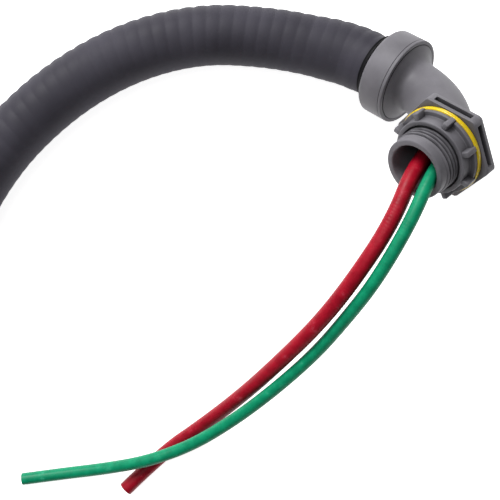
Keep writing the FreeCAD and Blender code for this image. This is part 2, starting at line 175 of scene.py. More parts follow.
def conduit_wall(at, line, angles):
    """Outside radius: a spiral ridge, tall outside a bend and flat inside it, and a swell by the elbow."""
    along, across, side = directions(line)
    bend = np.gradient(along, axis=0) / np.gradient(at)[:, None]
    smooth = np.ones(BEND_WINDOW) / BEND_WINDOW
    padded = [np.pad(bend[:, axis], BEND_WINDOW // 2, "edge") for axis in range(3)]
    bend = np.stack([np.convolve(part, smooth, "valid") for part in padded], axis=1)
    out = outwards(across, side, angles)
    opened = np.clip(0.5 - np.einsum("rak,rk->ra", out, bend) * CONDUIT_RADIUS * RIDGE_OPENING, 0, 1)
    phase = (at[:, None] / RIDGE_PITCH + angles[None, :] / (2 * math.pi)) % 1.0
    crest = np.sin(phase * math.pi) ** RIDGE_ROUNDNESS
    uneven = 1 + UNEVEN_SHARE * waves(line, UNEVEN_SIZE)[:, None]
    swell = SWELL_HEIGHT * np.interp(at, SWELL_PLACE, (0, 1, 1, 0))[:, None]
    strength = RIDGE_LEAST + (1 - RIDGE_LEAST) * opened
    return CONDUIT_RADIUS + swell - RIDGE_HEIGHT * (1 - crest) * strength * uneven


conduit_at, conduit_line = lay_line(CONDUIT_ROUTE, CONDUIT_STEP)
conduit_angles = turns(CONDUIT_SIDES)
conduit_radius = conduit_wall(conduit_at, conduit_line, conduit_angles)
conduit_outside = rings_along(conduit_line, conduit_radius, conduit_angles)
conduit_inside = rings_along(conduit_line, CONDUIT_BORE, conduit_angles)[::-WALL_INSIDE_STEP]
conduit = skin("conduit", np.concatenate([conduit_outside, conduit_inside]))


def shader(name, rough, **sockets):
    """A new material with its shader, and the shader's plain values."""
    material = bpy.data.materials.new(name)
    material.use_nodes = True
    surface = material.node_tree.nodes["Principled BSDF"]
    surface.inputs["Roughness"].default_value = rough
    for socket, value in sockets.items():
        surface.inputs[socket.replace("_", " ")].default_value = value
    return material, material.node_tree, surface


def node(tree, kind, **settings):
    """A new node with its settings."""
    made = tree.nodes.new(kind)
    for setting, value in settings.items():
        setattr(made, setting, value)
    return made


def noise_node(tree, place, detail):
    """A noise texture laid on the piece's own coordinates."""
    made = node(tree, "ShaderNodeTexNoise", noise_dimensions="3D")
    made.inputs["Detail"].default_value = detail
    tree.links.new(place.outputs["Object"], made.inputs["Vector"])
    return made


def ranged(tree, source, low, high, to_low, to_high):
    """A number taken from one span to another, and held inside it."""
    made = node(tree, "ShaderNodeMapRange")
    for label, value in (("From Min", low), ("From Max", high), ("To Min", to_low), ("To Max", to_high)):
        made.inputs[label].default_value = value
    tree.links.new(source, made.inputs["Value"])
    return made


def new_group(name, inputs, outputs):
    """A shader node group with named number or colour inputs and outputs."""
    group = bpy.data.node_groups.new(name, "ShaderNodeTree")
    for label, kind, value in inputs:
        socket = group.interface.new_socket(label, in_out="INPUT", socket_type=kind)
        socket.default_value = value
    for label, kind in outputs:
        group.interface.new_socket(label, in_out="OUTPUT", socket_type=kind)
    return group, group.nodes.new("NodeGroupInput"), group.nodes.new("NodeGroupOutput")


# reach of the painted shade that darkens the plastics' colour in hollows and between parts
CREVICE_SHADE_WIDTH = 7 * MM


def mottle_and_shade_group():
    """Plastic: soft tones, fine grain and pale scuffs, and painted shade in each hollow and corner, as
    colour, roughness and height.
    """
    number = "NodeSocketFloat"
    colour = "NodeSocketColor"
    group, given, made = new_group(
        "plastic_mottle_and_shade",
        [
            ("Base", colour, (0.2, 0.2, 0.2, 1)),
            ("Worn", colour, (0.3, 0.3, 0.3, 1)),
            ("Patch Size", number, 60.0),
            ("Grain Size", number, 2500.0),
            ("Scuffs", number, 0.3),
            ("Roughness", number, 0.45),
            ("Crevice Shade", number, 0.0),
        ],
        [("Color", colour), ("Roughness", number), ("Height", number)],
    )
    link = group.links.new
    place = node(group, "ShaderNodeTexCoord")
    patches = noise_node(group, place, 5)
    grain = noise_node(group, place, 2)
    scuff = noise_node(group, place, 9)
    scuff.inputs["Roughness"].default_value = 0.72
    scuff.inputs["Scale"].default_value = 130
    link(given.outputs["Patch Size"], patches.inputs["Scale"])
    link(given.outputs["Grain Size"], grain.inputs["Scale"])
    tone = ranged(group, patches.outputs["Fac"], 0.35, 0.65, 0.86, 1.14)
    toned = node(group, "ShaderNodeVectorMath", operation="SCALE")
    link(given.outputs["Base"], toned.inputs[0])
    link(tone.outputs[0], toned.inputs["Scale"])
    marks = ranged(group, scuff.outputs["Fac"], 0.60, 0.74, 0.0, 1.0)
    amount = node(group, "ShaderNodeMath", operation="MULTIPLY")
    link(marks.outputs[0], amount.inputs[0])
    link(given.outputs["Scuffs"], amount.inputs[1])
    worn = node(group, "ShaderNodeMix", data_type="RGBA")
    link(amount.outputs[0], worn.inputs["Factor"])
    link(toned.outputs[0], worn.inputs["A"])
    link(given.outputs["Worn"], worn.inputs["B"])
    # painted shade: ambient occlusion darkens the colour in hollows, slots, thread valleys and gaps between
    # parts, where shadow falls
    corners = node(group, "ShaderNodeAmbientOcclusion", samples=8)
    corners.inputs["Distance"].default_value = CREVICE_SHADE_WIDTH
    shade = ranged(group, corners.outputs["AO"], 0.15, 0.95, 0.0, 1.0)
    least = node(group, "ShaderNodeMath", operation="SUBTRACT")
    least.inputs[0].default_value = 1.0
    link(given.outputs["Crevice Shade"], least.inputs[1])
    link(least.outputs[0], shade.inputs["To Min"])
    painted_shade_colour = node(group, "ShaderNodeVectorMath", operation="SCALE")
    link(worn.outputs["Result"], painted_shade_colour.inputs[0])
    link(shade.outputs[0], painted_shade_colour.inputs["Scale"])
    link(painted_shade_colour.outputs[0], made.inputs["Color"])
    spread = ranged(group, patches.outputs["Fac"], 0.3, 0.7, -0.07, 0.07)
    rough = node(group, "ShaderNodeMath", operation="ADD")
    link(given.outputs["Roughness"], rough.inputs[0])
    link(spread.outputs[0], rough.inputs[1])
    link(rough.outputs[0], made.inputs["Roughness"])
    link(grain.outputs["Fac"], made.inputs["Height"])
    return group


plastic_mottle_and_shade = mottle_and_shade_group()


def plastic(
    name, base, worn, rough, patch=60.0, grain=2500.0, scuffs=0.3, depth=0.02, crevice_shade=0.0, **sockets
):
    """A plastic or rubber with mottled tone, grain (depth in millimetres), scuffs and painted shade that
    darkens each hollow and corner.
    """
    material, tree, surface = shader(name, rough, **sockets)
    mottle_and_shade = node(tree, "ShaderNodeGroup", node_tree=plastic_mottle_and_shade)
    mottle_and_shade.inputs["Base"].default_value = (*base, 1)
    mottle_and_shade.inputs["Worn"].default_value = (*worn, 1)
    mottle_and_shade.inputs["Patch Size"].default_value = patch
    mottle_and_shade.inputs["Grain Size"].default_value = grain
    mottle_and_shade.inputs["Scuffs"].default_value = scuffs
    mottle_and_shade.inputs["Roughness"].default_value = rough
    mottle_and_shade.inputs["Crevice Shade"].default_value = crevice_shade
    bump = node(tree, "ShaderNodeBump")
    bump.inputs["Strength"].default_value = 0.6
    bump.inputs["Distance"].default_value = depth * MM
    tree.links.new(mottle_and_shade.outputs["Color"], surface.inputs["Base Color"])
    tree.links.new(mottle_and_shade.outputs["Roughness"], surface.inputs["Roughness"])
    tree.links.new(mottle_and_shade.outputs["Height"], bump.inputs["Height"])
    tree.links.new(bump.outputs["Normal"], surface.inputs["Normal"])
    return material


def wear(piece, material):
    """Gives a piece its material."""
    piece.data.materials.clear()
    piece.data.materials.append(material)


# the conduit's colour is darkened by painted shade in its ridge hollows and where it enters the nuts
jacket_pvc = plastic(
    "jacket_pvc", (0.052, 0.049, 0.063), (0.085, 0.083, 0.095), 0.58,
    patch=45, grain=1400, scuffs=0.30, depth=0.05, crevice_shade=0.5, Specular_IOR_Level=0.14,
)
wear(conduit, jacket_pvc)
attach(conduit, "whip")
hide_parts("conduit_jacket")

# ---------------------------------------------------------------------------
# Conduit liner: the smooth inner core that the jacket is bonded to. It is hard PVC, and is only
# seen end-on inside the connectors.
# ---------------------------------------------------------------------------
LINER_OUTSIDE = 11.25 * MM
LINER_BORE = 10.6 * MM
LINER_SIDES = 48
LINER_EVERY = 6
liner_line = conduit_line[::LINER_EVERY]
liner = skin("liner", np.concatenate([
    rings_along(liner_line, LINER_OUTSIDE, turns(LINER_SIDES)),
    rings_along(liner_line, LINER_BORE, turns(LINER_SIDES))[::-1],
]))
liner_pvc = plastic("liner_pvc", (0.20, 0.20, 0.22), (0.3, 0.3, 0.3), 0.5)
wear(liner, liner_pvc)
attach(liner, "whip")
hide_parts("conduit_liner")

# ---------------------------------------------------------------------------
# Connector bodies: grey PVC mouldings, one a 90 degree elbow and one straight. Each has a socket
# for the conduit, a hexagonal flange cored by a slot in each flat, and a threaded hub.
# ---------------------------------------------------------------------------
HUB_RADIUS = 13.33 * MM
HUB_LENGTH = 18.0 * MM
HUB_TIP_RADIUS = 12.8 * MM
HUB_TIP_LENGTH = 3.2 * MM
HUB_BORE = 10.3 * MM
THREAD_PITCH = 1.814 * MM
THREAD_DEPTH = 1.3 * MM
THREAD_RINGS = 16
THREAD_RUNOUT = 0.9 * THREAD_PITCH
GROOVE_SLOPE = 4.2
GROOVE_START = 0.80
TIP_STEP = 0.05 * MM
TIP_ROUND = 0.55 * MM
MOUTH_ROUND = 0.6 * MM
ROUND_SIDES = 96
FINE_SIDES = 128
FLANGE_CORNER = 21.9 * MM
FLANGE_THICKNESS = 5.5 * MM
FLANGE_FRONT_PLATE = 1.5 * MM
FLANGE_EDGE = 0.3 * MM
FLANGE_EDGE_LEAN = 0.9
FLANGE_INSIDE = HUB_BORE + 1 * MM
FLANGE_BITE = 0.2 * MM
CORNER_ROUND = 1.1 * MM
CORNER_INSET = 0.16 * CORNER_ROUND
CORNER_SETBACK = 0.28 * CORNER_ROUND
SLOT_HEIGHT = 2.1 * MM
SLOT_LENGTH = 17.0 * MM
SLOT_DEPTH = 5.0 * MM
SLOT_END = 0.25 * MM
SOCKET_RADIUS = 16.0 * MM
SOCKET_LENGTH = 8.7 * MM
SOCKET_BORE = 13.65 * MM
SOCKET_FLOOR = 1.8 * MM
SOCKET_EDGE = 0.6 * MM
SOCKET_LEAD_IN = 0.3 * MM
SOCKET_STEP = 0.01 * MM
ELBOW_BEND = 35.0 * MM
ELBOW_END_TURN = math.radians(75)
ELBOW_PIPE_RADIUS = 11.15 * MM
ELBOW_BORE = 9.3 * MM
BELL_RADIUS = 17.3 * MM
BELL_LENGTH = 7.5 * MM
BELL_START = 0.1 * MM
BELL_CURVE = 3
BELL_TURN = 0.2
BELL_START_STATIONS = 4
BELL_STATIONS = 13
BEND_STATIONS = 33
STRAIGHT_NECK = 14.4 * MM
STRAIGHT_SHOULDER = 0.8 * MM
joints = {joint["name"]: joint for joint in frame["joints"]}


def axes_of(end):
    """A connector's two frames: at its nut's front plane, and at its flange's face, Z out of the hub."""
    nut = joints[end + "_nut_turn"]
    lock = joints[end + "_locknut_turn"]
    inward = -Vector(nut["axis"]).normalized()
    outward = Vector(lock["axis"]).normalized()
    if end == "elbow":
        sideways = outward.cross(inward).normalized()
        across = sideways.cross(outward)
    else:
        across = Vector((-outward.y, outward.x, 0)).normalized()
        sideways = outward.cross(across)
    face = Matrix((across, sideways, outward)).transposed().to_4x4()
    face.translation = Vector(lock["pos_m"])
    nut_side = inward.cross(sideways).normalized() * -1 if end == "elbow" else across
    plane = Matrix((nut_side, inward.cross(nut_side), inward)).transposed().to_4x4()
    plane.translation = Vector(nut["pos_m"])
    return plane, face


def rounded(corners, steps=4):
    """An outline with its corners rounded: each corner is (across, up) or (across, up, radius)."""
    points = []
    count = len(corners)
    for i, corner in enumerate(corners):
        here = np.array(corner[:2])
        if len(corner) == 2:
            points.append(here)
            continue
        before = np.array(corners[i - 1][:2]) - here
        after = np.array(corners[(i + 1) % count][:2]) - here
        before /= np.linalg.norm(before)
        after /= np.linalg.norm(after)
        half = math.acos(max(-1.0, min(1.0, before @ after))) / 2
        reach = corner[2] / math.tan(half)
        middle = here + (before + after) / np.linalg.norm(before + after) * corner[2] / math.sin(half)
        start = here + before * reach - middle
        end = here + after * reach - middle
        sweep = math.pi - 2 * half
        for step in range(steps + 1):
            part = step / steps
            arc = (start * math.sin((1 - part) * sweep) + end * math.sin(part * sweep)) / math.sin(sweep)
            points.append(middle + arc)
    return np.array(points)


def turned_grid(outline, sides):
    """Rings of a closed (radius, height) outline turned about Z."""
    angles = turns(sides)
    radius, height = outline[:, 0, None], outline[:, 1, None]
    return np.stack([
        radius * np.cos(angles), radius * np.sin(angles), np.broadcast_to(height, (len(outline), sides)),
    ], axis=-1)


def joined(name, pieces):
    """Several meshes as one piece."""
    work = bmesh.new()
    for piece in pieces:
        piece.data.transform(piece.matrix_basis)
        work.from_mesh(piece.data)
        bpy.data.objects.remove(piece)
    mesh = bpy.data.meshes.new(name)
    work.to_mesh(mesh)
    work.free()
    return mesh


def flange_shell(name, face):
    """The hexagonal flange: two plates and, between them, a core that is cut back by the slots."""
    flat = FLANGE_CORNER * math.cos(math.radians(30))
    half_side = FLANGE_CORNER / 2
    rim, core, inner = [], [], []
    for side in range(6):
        turn = math.radians(30 + 60 * side)
        ahead = np.array([math.cos(turn), math.sin(turn)])
        across = np.array([-math.sin(turn), math.cos(turn)])
        stations = [
            (-half_side + CORNER_ROUND, 0), (-SLOT_LENGTH / 2, 0), (-SLOT_LENGTH / 2 + SLOT_END, 1),
            (-SLOT_LENGTH / 4, 1), (0, 1), (SLOT_LENGTH / 4, 1),
            (SLOT_LENGTH / 2 - SLOT_END, 1), (SLOT_LENGTH / 2, 0), (half_side - CORNER_ROUND, 0),
        ]
        for along, cut in stations:
            point = ahead * flat + across * along
            rim.append(point)
            core.append(point - ahead * SLOT_DEPTH * cut)
            inner.append(point / np.linalg.norm(point) * FLANGE_INSIDE)
        corner = ahead * (flat - CORNER_INSET) + across * (half_side - CORNER_SETBACK)
        rim.append(corner)
        core.append(corner)
        inner.append(corner / np.linalg.norm(corner) * FLANGE_INSIDE)
    rim, core, inner = np.array(rim), np.array(core), np.array(inner)
    bottom = face - FLANGE_THICKNESS
    slot_top = face - FLANGE_FRONT_PLATE
    slot_bottom = slot_top - SLOT_HEIGHT
    shrink = 1 - FLANGE_EDGE / FLANGE_CORNER * FLANGE_EDGE_LEAN
    halfway = core * 0.5 + rim * 0.5
    layers = [
        (inner, bottom), (rim * shrink, bottom), (rim, bottom + FLANGE_EDGE),
        (rim, slot_bottom - FLANGE_EDGE / 2), (halfway, slot_bottom), (core, slot_bottom),
        (core, slot_top), (halfway, slot_top), (rim, slot_top + FLANGE_EDGE / 2),
        (rim, face - FLANGE_EDGE), (rim * shrink, face), (inner, face),
    ]
    grid = np.stack([
        np.concatenate([ring, np.full((len(ring), 1), height)], axis=1) for ring, height in layers
    ])
    return skin(name, grid, sharp=30)


def hub_shell(name, face, depth):
    """The threaded hub and its bore, from a depth behind the flange's face: its thread is a helix."""
    angles = turns(FINE_SIDES)
    top = HUB_LENGTH - HUB_TIP_LENGTH
    heights = np.linspace(-FLANGE_THICKNESS / 2, top, int(top / THREAD_PITCH * THREAD_RINGS))
    phase = (heights[:, None] / THREAD_PITCH - angles[None, :] / (2 * math.pi)) % 1.0
    groove = np.clip(GROOVE_SLOPE * np.abs(phase - 0.5) - GROOVE_START, 0, 1)
    fade = np.clip((top - heights) / THREAD_RUNOUT, 0, 1)[:, None]
    radius = HUB_TIP_RADIUS + (HUB_RADIUS - THREAD_DEPTH * groove - HUB_TIP_RADIUS) * fade
    thread = np.stack([
        radius * np.cos(angles), radius * np.sin(angles),
        np.broadcast_to(face + heights[:, None], radius.shape),
    ], axis=-1)
    tip = rounded([
        (HUB_TIP_RADIUS, face + top + TIP_STEP), (HUB_TIP_RADIUS, face + HUB_LENGTH, TIP_ROUND),
        (HUB_BORE, face + HUB_LENGTH, MOUTH_ROUND), (HUB_BORE, face - depth),
        (HUB_RADIUS - THREAD_DEPTH, face - depth),
    ])
    return skin(name, np.concatenate([thread, turned_grid(tip, FINE_SIDES)]), sharp=38)


def swept_shell(name, stations):
    """A tube along the elbow: each station is (point, way, outside radius, inside radius)."""
    angles = turns(ROUND_SIDES)
    side = np.array([0.0, 1.0, 0.0])
    outside, inside = [], []
    for point, way, outer, inner in stations:
        up = np.cross(np.array(way) / np.linalg.norm(way), side)
        around = up[None] * np.cos(angles)[:, None] + side[None] * np.sin(angles)[:, None]
        outside.append(np.array(point) + around * outer)
        inside.append(np.array(point) + around * inner)
    return skin(name, np.array(outside + inside[::-1]), sharp=38)


def bell(distance):
    """Outside radius in front of the nut: a hollow bell that runs out into the pipe."""
    part = min(distance / BELL_LENGTH, 1.0)
    return ELBOW_PIPE_RADIUS + (BELL_RADIUS - ELBOW_PIPE_RADIUS) * (1 - part) ** BELL_CURVE


def elbow_stations(reach):
    """Socket, bell and bend, in the elbow's own axes with the crossing of its two axes at the origin."""
    stations = []
    back = -reach - SOCKET_LENGTH
    for x, outer, inner in (
        (back, SOCKET_RADIUS - SOCKET_EDGE, SOCKET_BORE + SOCKET_LEAD_IN),
        (back + SOCKET_EDGE, SOCKET_RADIUS, SOCKET_BORE),
        (-reach - SOCKET_FLOOR - SOCKET_STEP, SOCKET_RADIUS, SOCKET_BORE),
        (-reach - SOCKET_FLOOR, SOCKET_RADIUS, ELBOW_BORE),
        (-reach, SOCKET_RADIUS, ELBOW_BORE),
    ):
        stations.append(((x, 0, 0), (1, 0, 0), outer, inner))
    straight = reach - ELBOW_BEND
    for distance in np.linspace(BELL_START, straight, BELL_START_STATIONS)[:-1]:
        stations.append(((-reach + distance, 0, 0), (1, 0, 0), bell(distance), ELBOW_BORE))
    in_bell = np.linspace(0, BELL_TURN, BELL_STATIONS)
    in_pipe = np.linspace(BELL_TURN, ELBOW_END_TURN, BEND_STATIONS)[1:]
    for turn in np.concatenate([in_bell, in_pipe]):
        point = (ELBOW_BEND * (math.sin(turn) - 1), 0, ELBOW_BEND * (1 - math.cos(turn)))
        outer = bell(straight + ELBOW_BEND * turn)
        stations.append((point, (math.cos(turn), 0, math.sin(turn)), outer, ELBOW_BORE))
    return stations


def elbow_mesh():
    """The whole elbow body, made in its own axes and put where its flange's face is."""
    nut_plane_frame, face_frame = axes_of("elbow")
    to_corner = face_frame.inverted() @ nut_plane_frame.translation
    # the elbow's two axes cross below the face by the rise, and short of the nut's plane by the reach
    rise = -to_corner.z
    reach = -to_corner.x
    shells = [
        swept_shell("elbow_pipe", elbow_stations(reach)),
        flange_shell("elbow_flange", rise),
        hub_shell("elbow_hub", rise, FLANGE_THICKNESS / 2),
    ]
    mesh = joined("elbow_connector_body", shells)
    place = face_frame.copy()
    place.translation = face_frame @ Vector((0, 0, -rise))
    mesh.transform(place)
    return mesh


def straight_mesh():
    """The whole straight body, made on its flange's face."""
    nut_plane_frame, face_frame = axes_of("straight")
    reach = (face_frame.translation - nut_plane_frame.translation).length
    socket = rounded([
        (SOCKET_BORE, -reach - SOCKET_LENGTH), (SOCKET_RADIUS, -reach - SOCKET_LENGTH, SOCKET_EDGE),
        (SOCKET_RADIUS, -reach), (SOCKET_RADIUS - STRAIGHT_SHOULDER, -reach + SOCKET_EDGE),
        (STRAIGHT_NECK, -FLANGE_THICKNESS + FLANGE_BITE), (HUB_BORE, -FLANGE_THICKNESS + FLANGE_BITE),
        (HUB_BORE, -reach - SOCKET_FLOOR), (SOCKET_BORE, -reach - SOCKET_FLOOR),
    ])
    shells = [
        skin("straight_socket", turned_grid(socket, ROUND_SIDES), sharp=35),
        flange_shell("straight_flange", 0.0),
        hub_shell("straight_hub", 0.0, FLANGE_THICKNESS),
    ]
    mesh = joined("straight_connector_body", shells)
    mesh.transform(face_frame)
    return mesh


# the fittings' colour carries strong painted shade in thread valleys, flange slots, round the lugs and beside
# the sealing rings
fitting_pvc = plastic(
    "fitting_pvc", (0.160, 0.154, 0.170), (0.26, 0.26, 0.27), 0.48,
    patch=70, grain=3200, scuffs=0.22, depth=0.03, crevice_shade=0.85, Specular_IOR_Level=0.22,
)
for end, make in (("elbow", elbow_mesh), ("straight", straight_mesh)):
    body = finished(end + "_connector_body", make(), sharp=38)
    wear(body, fitting_pvc)
    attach(body, "whip")
    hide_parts(end + "_body")

# ---------------------------------------------------------------------------
# Compression nuts: grey PVC rings that screw onto the socket and squeeze the seal on the conduit.
# The back edge is rounded, and a fine line runs round behind the front edge.
# ---------------------------------------------------------------------------
NUT_RADIUS = 18.85 * MM
NUT_LENGTH = 12.8 * MM
NUT_CAVITY_RADIUS = 16.08 * MM
NUT_CAVITY_LENGTH = 9.8 * MM
NUT_MOUTH = 14.58 * MM
NUT_FRONT_FACE = 1.5 * MM
NUT_FRONT_ROUND = 0.45 * MM
NUT_BACK_ROUND = 1.8 * MM
NUT_MOUTH_ROUND = 0.5 * MM
LEAD_IN_DEPTH = 1.6 * MM
LEAD_IN_ROUND = 0.3 * MM
LINE_PLACE = 1.5 * MM
LINE_SIZE = 0.28 * MM
LINE_ROUND = 0.08 * MM


def nut_outline():
    """The nut's section, from the lead-in at the front, round the outside, to the cavity."""
    return rounded([
        (NUT_CAVITY_RADIUS, -LEAD_IN_DEPTH),
        (NUT_RADIUS - NUT_FRONT_FACE, 0, LEAD_IN_ROUND),
        (NUT_RADIUS, 0, NUT_FRONT_ROUND),
        (NUT_RADIUS, -LINE_PLACE, LINE_ROUND),
        (NUT_RADIUS - LINE_SIZE, -LINE_PLACE - LINE_SIZE / 2),
        (NUT_RADIUS, -LINE_PLACE - LINE_SIZE, LINE_ROUND),
        (NUT_RADIUS, -NUT_LENGTH, NUT_BACK_ROUND),
        (NUT_MOUTH, -NUT_LENGTH, NUT_MOUTH_ROUND),
        (NUT_MOUTH, -NUT_CAVITY_LENGTH),
        (NUT_CAVITY_RADIUS, -NUT_CAVITY_LENGTH),
    ])


for end in ("elbow", "straight"):
    plane, _ = axes_of(end)
    nut = skin(end + "_compression_nut", turned_grid(nut_outline(), FINE_SIDES), sharp=32)
    nut.data.transform(plane)
    wear(nut, fitting_pvc)
    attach(nut, end + "_nut")
    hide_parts(end + "_nut")

# ---------------------------------------------------------------------------
# Seal rings: black rubber rings between the nut's mouth and the conduit, with fine ribs round the
# part that stands out of the mouth.
# ---------------------------------------------------------------------------
SEAL_OUTSIDE = 14.5 * MM
SEAL_INSIDE = 13.42 * MM
SEAL_START = 9.5 * MM
SEAL_LENGTH = 7.0 * MM
RIB_COUNT = 5
RIB_STEPS = 8
RIB_DEPTH = 0.28 * MM


def seal_outline():
    """Ribs and grooves outside, from the front to the back, and a plain bore."""
    outline = []
    steps = RIB_COUNT * RIB_STEPS
    for step in range(steps + 1):
        part = step / steps
        groove = RIB_DEPTH * (1 - math.cos(part * RIB_COUNT * 2 * math.pi)) / 2
        outline.append((SEAL_OUTSIDE - groove, -SEAL_START - SEAL_LENGTH * part))
    outline += [(SEAL_INSIDE, -SEAL_START - SEAL_LENGTH), (SEAL_INSIDE, -SEAL_START)]
    return np.array(outline)


seal_rubber = plastic(
    "seal_rubber", (0.006, 0.006, 0.007), (0.02, 0.02, 0.02), 0.6,
    patch=90, grain=2600, scuffs=0.2, depth=0.03, Specular_IOR_Level=0.15,
)
for end in ("elbow", "straight"):
    plane, _ = axes_of(end)
    seal = skin(end + "_seal", turned_grid(seal_outline(), ROUND_SIDES), sharp=50)
    seal.data.transform(plane)
    wear(seal, seal_rubber)
    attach(seal, end + "_seal")
    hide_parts(end + "_seal_ring")

# ---------------------------------------------------------------------------
# Ferrules: light grey PVC sleeves, pushed into the conduit's ends. The nut squeezes the hose on to
# them. They are out of sight in the sockets, so the plain solids are kept.
# ---------------------------------------------------------------------------
ferrule_pvc = plastic("ferrule_pvc", (0.30, 0.30, 0.31), (0.4, 0.4, 0.4), 0.5)
for end in ("elbow", "straight"):
    ferrule = frame["nodes"][end + "_ferrule"]
    ferrule.data.materials.clear()
    ferrule.data.materials.append(ferrule_pvc)

# ---------------------------------------------------------------------------
# Sealing rings: flat rings of soft yellow PVC, slipped over each hub against the flange. They seal
# the hole in the enclosure's wall that the hub goes through.
# ---------------------------------------------------------------------------
GASKET_RADIUS = 18.5 * MM
GASKET_BORE = 13.38 * MM
GASKET_THICKNESS = 1.9 * MM
GASKET_ROUND = 0.45 * MM
GASKET_GAP = 0.02 * MM

gasket_pvc = plastic(
    "gasket_pvc", (0.78, 0.56, 0.012), (0.85, 0.70, 0.15), 0.30,
    patch=80, grain=1800, scuffs=0.12, depth=0.015,
    Subsurface_Weight=0.15, Subsurface_Scale=0.6 * MM, Coat_Weight=0.25, Coat_Roughness=0.15,
)
for end in ("elbow", "straight"):
    _, face = axes_of(end)
    outline = rounded([
        (GASKET_BORE, 0), (GASKET_RADIUS, 0, GASKET_ROUND),
        (GASKET_RADIUS, GASKET_THICKNESS, GASKET_ROUND), (GASKET_BORE, GASKET_THICKNESS),
    ], steps=5)
    gasket = skin(end + "_sealing_ring", turned_grid(outline, FINE_SIDES), sharp=45)
    gasket.data.transform(face @ Matrix.Translation((0, 0, GASKET_GAP)))
    wear(gasket, gasket_pvc)
    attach(gasket, end + "_gasket")
    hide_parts(end + "_gasket")

# ---------------------------------------------------------------------------
# Locknuts: grey PVC rings with a thin rim, a raised collar and eight lugs, that a screwdriver drives
# round. They clamp the enclosure's wall against the sealing ring.
# ---------------------------------------------------------------------------
LOCKNUT_RIM = 18.0 * MM
LOCKNUT_RIM_THICKNESS = 1.6 * MM
LOCKNUT_COLLAR = 15.9 * MM
LOCKNUT_THICKNESS = 6.2 * MM
LOCKNUT_BORE = 13.40 * MM
LOCKNUT_MOUTH = 14.1 * MM
LOCKNUT_MOUTH_DEPTH = 0.9 * MM
RIM_FRONT_ROUND = 0.35 * MM
RIM_BACK_ROUND = 0.2 * MM
COLLAR_ROUND = 0.5 * MM
LUG_COUNT = 8
LUG_REACH = 18.7 * MM
LUG_WIDTH = 2.4 * MM
LUG_SETBACK = 0.5 * MM
LUG_ROOT = 1 * MM
LUG_ROUND = 0.55 * MM
LUG_TURN = math.radians(-11)


def lug(name, turn):
    """One lug: a small block from the collar to past the rim, with rounded edges."""
    work = bmesh.new()
    bmesh.ops.create_cube(work, size=1)
    length = LUG_REACH - LOCKNUT_COLLAR + LUG_ROOT
    height = LOCKNUT_THICKNESS - LUG_SETBACK
    centre = Vector((LUG_REACH - length / 2, 0, height / 2))
    work.transform(Matrix.Translation(centre) @ Matrix.Diagonal((length, LUG_WIDTH, height, 1)))
    bmesh.ops.bevel(work, geom=work.edges[:], offset=LUG_ROUND, segments=3, affect="EDGES", profile=0.5)
    work.transform(Matrix.Rotation(turn, 4, "Z"))
    mesh = bpy.data.meshes.new(name)
    work.to_mesh(mesh)
    work.free()
    piece = bpy.data.objects.new(name, mesh)
    scene.collection.objects.link(piece)
    return piece


def locknut_mesh(name):
    """Rim, collar and lugs as one mesh, standing on the side that meets the sealing ring."""
    outline = rounded([
        (LOCKNUT_BORE, 0), (LOCKNUT_RIM, 0, RIM_BACK_ROUND),
        (LOCKNUT_RIM, LOCKNUT_RIM_THICKNESS, RIM_FRONT_ROUND),
        (LOCKNUT_COLLAR, LOCKNUT_RIM_THICKNESS, COLLAR_ROUND),
        (LOCKNUT_COLLAR, LOCKNUT_THICKNESS, COLLAR_ROUND),
        (LOCKNUT_MOUTH, LOCKNUT_THICKNESS, RIM_BACK_ROUND),
        (LOCKNUT_BORE, LOCKNUT_THICKNESS - LOCKNUT_MOUTH_DEPTH),
    ])
    pieces = [skin(name, turned_grid(outline, FINE_SIDES))]
    pieces += [lug(f"{name}_lug", LUG_TURN + 2 * math.pi * i / LUG_COUNT) for i in range(LUG_COUNT)]
    return joined(name, pieces)


for end in ("elbow", "straight"):
    _, face = axes_of(end)
    ring = finished(end + "_locknut_ring", locknut_mesh(end + "_locknut_ring"), sharp=35)
    ring.data.transform(face @ Matrix.Translation((0, 0, GASKET_THICKNESS + 2 * GASKET_GAP)))
    wear(ring, fitting_pvc)
    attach(ring, end + "_locknut")
    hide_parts(end + "_locknut")

# ---------------------------------------------------------------------------
# Wires: two building wires, a 6 gauge red one and an 8 gauge green one, of twisted copper strands
# in PVC with a clear nylon coat. They run loose through the conduit and are cut off square.
# ---------------------------------------------------------------------------
WIRE_STEP = 0.42 * MM
WIRE_SIDES = 28
WIRE_RADIUS = {"red": 3.3 * MM, "green": 2.75 * MM}
COPPER_RADIUS = {"red": 2.33 * MM, "green": 1.85 * MM}
RIPPLE_PITCH = 1.35 * MM
RIPPLE_HEIGHT = 0.035 * MM
RIPPLE_WANDER = 2.5
RIPPLE_WANDER_SIZE = 6 * MM
RIPPLE_PATCH_SIZE = 9 * MM
RIPPLE_LEAN = 0.6
RIPPLE_MEAN = 0.6
RIPPLE_SPREAD = 1.4
RIPPLE_MOST = 1.4
COPPER_CLEARANCE = 0.02 * MM
STRAND_RINGS = (1, 6, 12)
STRANDS_ACROSS = 5
STRAND_SIDES = 10
STRAND_SHARE = 0.98
STRAND_TWIST = 14 * MM
STRAND_RING_TURN = 0.2
STRAND_DEPTH = 9 * MM
CORE_SIDES = 20
CORE_SHARE = 0.97
CORE_EVERY = 4
